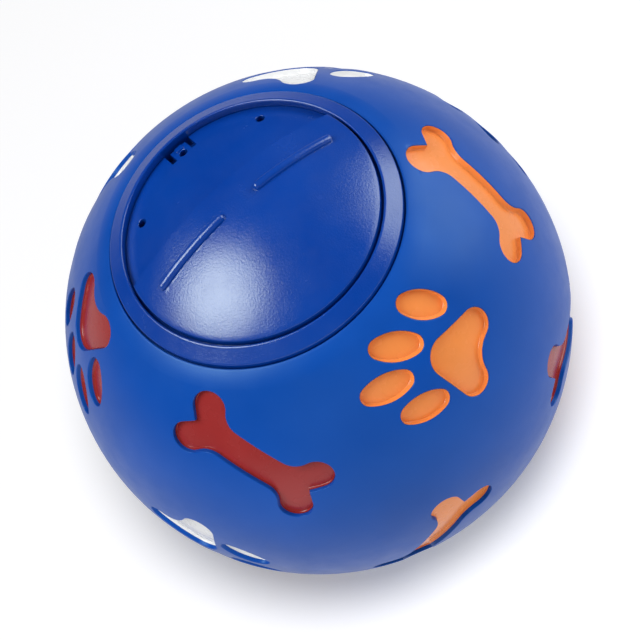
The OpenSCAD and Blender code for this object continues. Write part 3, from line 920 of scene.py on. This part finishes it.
def add_smear(tree, shader, rough, less, more, scale, detail, roughness=0.5):
    """Lets a finish be a little less or more rough from place to place."""
    node = add_node(tree, "ShaderNodeMapRange", Value=noise(tree, scale, detail, roughness),
                    From_Min=NOISE_LOW, From_Max=NOISE_HIGH, To_Min=rough - less, To_Max=rough + more)
    tree.links.new(node.outputs["Result"], shader.inputs["Roughness"])


def add_grain(tree, shader, depth, scale, detail, roughness=0.5):
    """Gives a finish fine bumps of this depth."""
    bump = add_node(tree, "ShaderNodeBump", Strength=1.0, Distance=depth,
                    Height=noise(tree, scale, detail, roughness))
    tree.links.new(bump.outputs["Normal"], shader.inputs["Normal"])


def moulded(name, deep, pale, rough, specular, sheen, grain_depth, grain_scale):
    """Moulded plastic or vinyl: slow changes of shade, and a fine grain from the mould."""
    material, tree, shader = new_material(name)
    add_shade(tree, shader, deep, pale, scale=45, detail=3)
    add_smear(tree, shader, rough, less=0.04, more=0.05, scale=160, detail=4, roughness=0.6)
    add_grain(tree, shader, grain_depth, grain_scale, detail=3, roughness=0.6)
    shader.inputs["Specular IOR Level"].default_value = specular
    shader.inputs["Specular Tint"].default_value = (*sheen, 1)
    return material


def painted(name, tint, rough):
    """Sprayed paint: slight changes of shade, and a soft ripple."""
    material, tree, shader = new_material(name)
    deep, pale = shades(tint, low=0.95, high=1.03)
    add_shade(tree, shader, deep, pale, scale=120, detail=4)
    add_smear(tree, shader, rough, less=0.05, more=0.05, scale=300, detail=2)
    add_grain(tree, shader, depth=0.00002, scale=900, detail=3)
    return material


def plated(name, tint, rough):
    """Zinc-plated steel with a fine, uneven gloss."""
    material, tree, shader = new_material(name)
    deep, pale = shades(tint, low=0.85, high=1.0)
    add_shade(tree, shader, deep, pale, scale=900, detail=4)
    add_smear(tree, shader, rough, less=0.07, more=0.07, scale=2500, detail=3)
    shader.inputs["Metallic"].default_value = 1.0
    return material


def vinyl_material(f):
    """Satin vinyl with a faint grain and a blue sheen."""
    return moulded("blue_vinyl", f.vinyl_deep, f.vinyl_pale, f.vinyl_rough, specular=0.42,
                   sheen=(0.45, 0.82, 1.0), grain_depth=0.00001, grain_scale=2600)


def plastic_material(f):
    """Glossy hard plastic with a fine orange-peel grain."""
    return moulded("blue_plastic", f.plastic_deep, f.plastic_pale, f.plastic_rough, specular=1.0,
                   sheen=(0.9, 1.0, 0.9), grain_depth=0.000042, grain_scale=2400)


class TREATBALL_OT_ball(bpy.types.Operator):
    """Model the vinyl ball with its recesses"""
    bl_idname = "treatball.ball"
    bl_label = "Ball"

    def execute(self, context):
        settings = context.scene.treat_ball
        bm = bmesh.new()
        ball_section(bm, settings.ball, settings.collar)
        lathe(bm)
        ball = mesh_object(bm, "ball")
        tools = {shape: recess_tool(outline, settings.motif, settings.ball.radius)
                 for shape, outline in OUTLINES.items()}
        cutter = bmesh.new()
        for shape, _, azimuth, polar, turn, _ in MOTIFS:
            add_copy(cutter, tools[shape].copy(), motif_place(azimuth, polar, turn))
        for tool in tools.values():
            tool.free()
        combine(ball, cutter, "DIFFERENCE")
        settle(ball, "vinyl_ball", "ball", "blue_vinyl", vinyl_material(settings.finish), "ball_shell")
        smooth_skin(ball.data, settings.ball.radius)
        return {"FINISHED"}


class TREATBALL_OT_coats(bpy.types.Operator):
    """Paint the floors and the walls of the recesses"""
    bl_idname = "treatball.coats"
    bl_label = "Paint Coats"

    def execute(self, context):
        settings = context.scene.treat_ball
        edges = {"full": settings.motif.full_edge, "foot": settings.motif.foot_edge}
        sheets = {(shape, cover): coat_sheet(outline, settings.motif, settings.ball.radius, edge)
                  for shape, outline in OUTLINES.items() for cover, edge in edges.items()}
        for coat in ("orange", "red", "white"):
            bm = bmesh.new()
            for shape, tint, azimuth, polar, turn, cover in MOTIFS:
                if tint == coat:
                    add_copy(bm, sheets[shape, cover].copy(), motif_place(azimuth, polar, turn))
            film = mesh_object(bm, coat)
            paint = painted(coat + "_paint", getattr(settings.finish, coat), settings.finish.paint_rough)
            settle(film, coat + "_coat", "ball", coat + "_paint", paint, "paint_" + coat)
        for sheet in sheets.values():
            sheet.free()
        return {"FINISHED"}


class TREATBALL_OT_collar(bpy.types.Operator):
    """Model the collar that plugs the mouth"""
    bl_idname = "treatball.collar"
    bl_label = "Collar"

    def execute(self, context):
        settings = context.scene.treat_ball
        bm = bmesh.new()
        collar_section(bm, settings.collar, settings.ball, settings.plate)
        lathe(bm)
        collar = mesh_object(bm, "collar_ring")
        settle(collar, "collar_ring", "ball", "blue_plastic", plastic_material(settings.finish), "collar")
        return {"FINISHED"}


class TREATBALL_OT_plate(bpy.types.Operator):
    """Model the port plate with its port, index holes and tongue"""
    bl_idname = "treatball.plate"
    bl_label = "Port Plate"

    def execute(self, context):
        settings = context.scene.treat_ball
        bm = bmesh.new()
        plate_section(bm, settings.plate, settings.ball)
        lathe(bm)
        plate = mesh_object(bm, "plate")
        combine(plate, nub_block(settings.plate, settings.ball), "UNION")
        for outline in (port_outline, index_outline, slit_outline):
            combine(plate, plate_tool(outline, settings.plate, settings.ball), "DIFFERENCE")
        settle(plate, "dispenser_plate", "ball", "blue_plastic", plastic_material(settings.finish),
               "port_plate")
        return {"FINISHED"}


class TREATBALL_OT_shutter(bpy.types.Operator):
    """Model the half-dome shutter with its ridges, post and pip"""
    bl_idname = "treatball.shutter"
    bl_label = "Shutter"

    def execute(self, context):
        settings = context.scene.treat_ball
        sizes = settings.shutter
        bm = bmesh.new()
        shutter_section(bm, sizes, settings.plate, settings.ball)
        lathe(bm)
        cut_chord(bm, sizes)
        shutter = mesh_object(bm, "half_dome")
        for turn in (0, math.pi):
            combine(shutter, ridge_block(sizes, settings.ball, turn), "UNION")
        combine(shutter, pip_block(sizes, settings.plate, settings.ball), "UNION")
        settle(shutter, "half_dome_shutter", "shutter", "blue_plastic",
               plastic_material(settings.finish), "shutter")
        return {"FINISHED"}


class TREATBALL_OT_pivot(bpy.types.Operator):
    """Finish the washer and the screw under the shutter"""
    bl_idname = "treatball.pivot"
    bl_label = "Pivot"

    def execute(self, context):
        finish = context.scene.treat_ball.finish
        steel = plated("zinc_steel", finish.steel, finish.steel_rough)
        for name in ("pivot_washer", "pivot_screw"):
            for slot in frame["nodes"][name].material_slots:
                slot.material = steel
        return {"FINISHED"}


def camera_axes(s):
    """Unit vectors to the right of the picture, up it, and from the ball to the camera."""
    back = Vector((math.sin(s.azimuth) * math.cos(s.elevation),
                   -math.cos(s.azimuth) * math.cos(s.elevation), math.sin(s.elevation)))
    level = Vector((math.cos(s.azimuth), math.sin(s.azimuth), 0))
    rise = back.cross(level)
    right = level * math.cos(s.roll) - rise * math.sin(s.roll)
    up = rise * math.cos(s.roll) + level * math.sin(s.roll)
    return right, up, back


def add_camera(s):
    """Camera at the picture's view, with the ball a little off the middle of the frame."""
    right, up, back = camera_axes(s)
    data = bpy.data.cameras.new("camera")
    data.lens = s.lens
    data.sensor_width = 36.0
    data.shift_x = VIEW_SHIFT[0] / PICTURE
    data.shift_y = VIEW_SHIFT[1] / PICTURE
    camera = bpy.data.objects.new("camera", data)
    turn = Matrix((right, up, back)).transposed().to_4x4()
    camera.matrix_world = Matrix.Translation(back * s.distance) @ turn
    bpy.context.scene.collection.objects.link(camera)
    bpy.context.scene.camera = camera


def add_softbox(s, lit, name, toward, size, shown):
    """Round softbox that faces the ball and lights one collection."""
    right, up, back = camera_axes(s)
    way = (right * toward[0] + up * toward[1] + back * toward[2]).normalized()
    data = bpy.data.lights.new(name, "AREA")
    data.shape = "DISK"
    data.size = size
    data.energy = getattr(s, name + "_power")
    lamp = bpy.data.objects.new(name, data)
    lamp.location = way * s.lamp_distance
    lamp.rotation_euler = way.to_track_quat("Z", "Y").to_euler()
    lamp.visible_glossy = shown
    lamp.light_linking.receiver_collection = lit
    bpy.context.scene.collection.objects.link(lamp)


def camera_math(tree, operation, value):
    """Sets Is Camera Ray, which is 1 or 0, against a value."""
    path = add_node(tree, "ShaderNodeLightPath")
    node = tree.nodes.new("ShaderNodeMath")
    node.operation = operation
    tree.links.new(path.outputs["Is Camera Ray"], node.inputs[0])
    node.inputs[1].default_value = value
    return node.outputs[0]


def floor_material(s):
    """Pale matt floor, lifted to white where the camera sees it."""
    material = bpy.data.materials.new("floor")
    material.use_nodes = True
    tree = material.node_tree
    tree.nodes.clear()
    matt = add_node(tree, "ShaderNodeBsdfDiffuse", Color=(0.86, 0.86, 0.87, 1))
    glow = add_node(tree, "ShaderNodeEmission", Strength=camera_math(tree, "MULTIPLY", s.floor_glow))
    both = tree.nodes.new("ShaderNodeAddShader")
    tree.links.new(matt.outputs[0], both.inputs[0])
    tree.links.new(glow.outputs[0], both.inputs[1])
    add_node(tree, "ShaderNodeOutputMaterial", Surface=both.outputs[0])
    return material


def studio_world(s):
    """Even light from all sides, which reflections don't show, and white behind the ball."""
    world = bpy.data.worlds.new("studio")
    world.use_nodes = True
    tree = world.node_tree
    background = tree.nodes["Background"]
    background.inputs["Color"].default_value = (1, 1, 1, 1)
    tree.links.new(camera_math(tree, "MAXIMUM", s.ambient), background.inputs["Strength"])
    bpy.context.scene.world = world
    world.cycles_visibility.glossy = False


class TREATBALL_OT_stage(bpy.types.Operator):
    """Set up the camera, the lamps and the floor"""
    bl_idname = "treatball.stage"
    bl_label = "Stage"

    def execute(self, context):
        settings = context.scene.treat_ball
        s = settings.stage
        add_camera(s)
        pieces = bpy.data.collections.new("pieces")
        for obj in context.scene.objects:
            if obj.type == "MESH":
                pieces.objects.link(obj)
        for softbox in SOFTBOXES:
            add_softbox(s, pieces, *softbox)
        studio_world(s)
        bm = bmesh.new()
        bmesh.ops.create_grid(bm, x_segments=1, y_segments=1, size=FLOOR_HALF)
        bmesh.ops.translate(bm, vec=(0, 0, -settings.ball.radius), verts=bm.verts)
        floor = mesh_object(bm, "floor")
        floor.data.materials.append(floor_material(s))
        ground = bpy.data.collections.new("ground")
        ground.objects.link(floor)
        add_softbox(s, ground, *FLOOR_LAMP)
        context.scene.view_settings.view_transform = "Standard"
        return {"FINISHED"}


GROUPS = {
    BallSizes: "ball",
    MotifSizes: "motif",
    CollarSizes: "collar",
    PlateSizes: "plate",
    ShutterSizes: "shutter",
    Finishes: "finish",
    StageSettings: "stage",
}
OPERATORS = (
    TREATBALL_OT_ball,
    TREATBALL_OT_coats,
    TREATBALL_OT_collar,
    TREATBALL_OT_plate,
    TREATBALL_OT_shutter,
    TREATBALL_OT_pivot,
    TREATBALL_OT_stage,
)


class TREATBALL_PT_build(bpy.types.Panel):
    """Lists the pieces of the treat ball in the sidebar"""
    bl_idname = "TREATBALL_PT_build"
    bl_label = "Treat Ball"
    bl_space_type = "VIEW_3D"
    bl_region_type = "UI"
    bl_category = "Treat Ball"

    def draw(self, context):
        for operator in OPERATORS:
            self.layout.operator(operator.bl_idname)
        settings = context.scene.treat_ball
        for group, owner in GROUPS.items():
            for name in group.__annotations__:
                self.layout.prop(getattr(settings, owner), name)


CLASSES = (*GROUPS, TreatBallSettings, *OPERATORS, TREATBALL_PT_build)


def register():
    """Adds the classes and the settings to Blender."""
    for cls in CLASSES:
        bpy.utils.register_class(cls)
    bpy.types.Scene.treat_ball = PointerProperty(type=TreatBallSettings)


def unregister():
    """Takes the settings and the classes out of Blender."""
    del bpy.types.Scene.treat_ball
    for cls in reversed(CLASSES):
        bpy.utils.unregister_class(cls)


def main():
    register()
    bpy.ops.treatball.ball()
    bpy.ops.treatball.coats()
    bpy.ops.treatball.collar()
    bpy.ops.treatball.plate()
    bpy.ops.treatball.shutter()
    bpy.ops.treatball.pivot()
    bpy.ops.treatball.stage()


if __name__ == "__main__":
    main()
